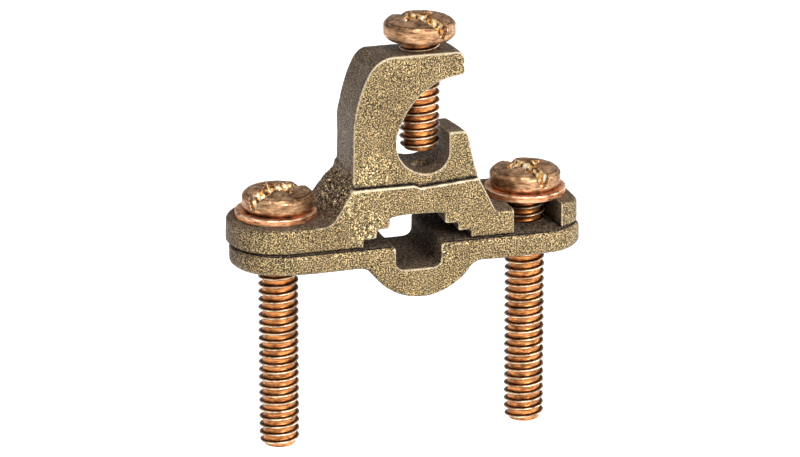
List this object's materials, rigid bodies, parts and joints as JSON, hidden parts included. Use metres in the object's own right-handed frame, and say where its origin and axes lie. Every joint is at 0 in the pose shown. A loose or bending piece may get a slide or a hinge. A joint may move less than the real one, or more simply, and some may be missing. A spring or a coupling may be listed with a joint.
{
  "type": "earth rod clamp",
  "caption": "Cast bronze clamp that grips an earth rod or pipe between two screwed jaws and holds the earth conductor in a lay-in hook under a third screw.",
  "frame": {"origin": "middle of the rod seat, halfway between the two clamp screws, on the face where the jaws meet, at mid depth of the upper jaw", "axes": "+X along the jaws towards the slotted end, +Y along the rod, +Z along the screws, up to the conductor hook"},
  "size_m": [0.0551, 0.017, 0.0677],
  "materials": {
    "cast_bronze": "sand cast",
    "silicon_bronze": "rolled and tumbled",
    "copper": "stamped"
  },
  "bodies": {
    "hook_casting": {"upper_jaw": "cast_bronze", "pivot_washer": "copper"},
    "swing": {"slot_washer": "copper"},
    "lower_jaw": {"lower_jaw": "cast_bronze"},
    "pivot_screw": {"pivot_screw": "silicon_bronze"},
    "slot_screw": {"slot_screw": "silicon_bronze"},
    "wire_screw": {"wire_screw": "silicon_bronze"}
  },
  "joints": [
    {"name": "swing_open", "type": "hinge", "parent": "hook_casting", "child": "swing", "pos_m": [-0.01985, 0, 0], "axis": [0, 0, -1], "range_deg": [0, 110]},
    {"name": "jaw_travel", "type": "slide", "parent": "swing", "child": "lower_jaw", "axis": [0, 0, -1], "range_m": [0, 0.026]},
    {"name": "pivot_screw_turn", "type": "hinge", "parent": "hook_casting", "child": "pivot_screw", "pos_m": [-0.01985, 0, 0], "axis": [0, 0, 1], "range_deg": [0, 7371]},
    {"name": "slot_screw_turn", "type": "hinge", "parent": "swing", "child": "slot_screw", "pos_m": [0.01985, 0, 0], "axis": [0, 0, 1], "range_deg": [0, 7371]},
    {"name": "wire_screw_travel", "type": "slide", "parent": "hook_casting", "child": "wire_screw", "axis": [0, 0, 1], "range_m": [-0.0009, 0.0115]}
  ],
  "couplings": [
    {"joint": "pivot_screw_turn", "follows": "jaw_travel", "rad_per_m": 4947.4},
    {"joint": "slot_screw_turn", "follows": "jaw_travel", "rad_per_m": 4947.4}
  ]
}
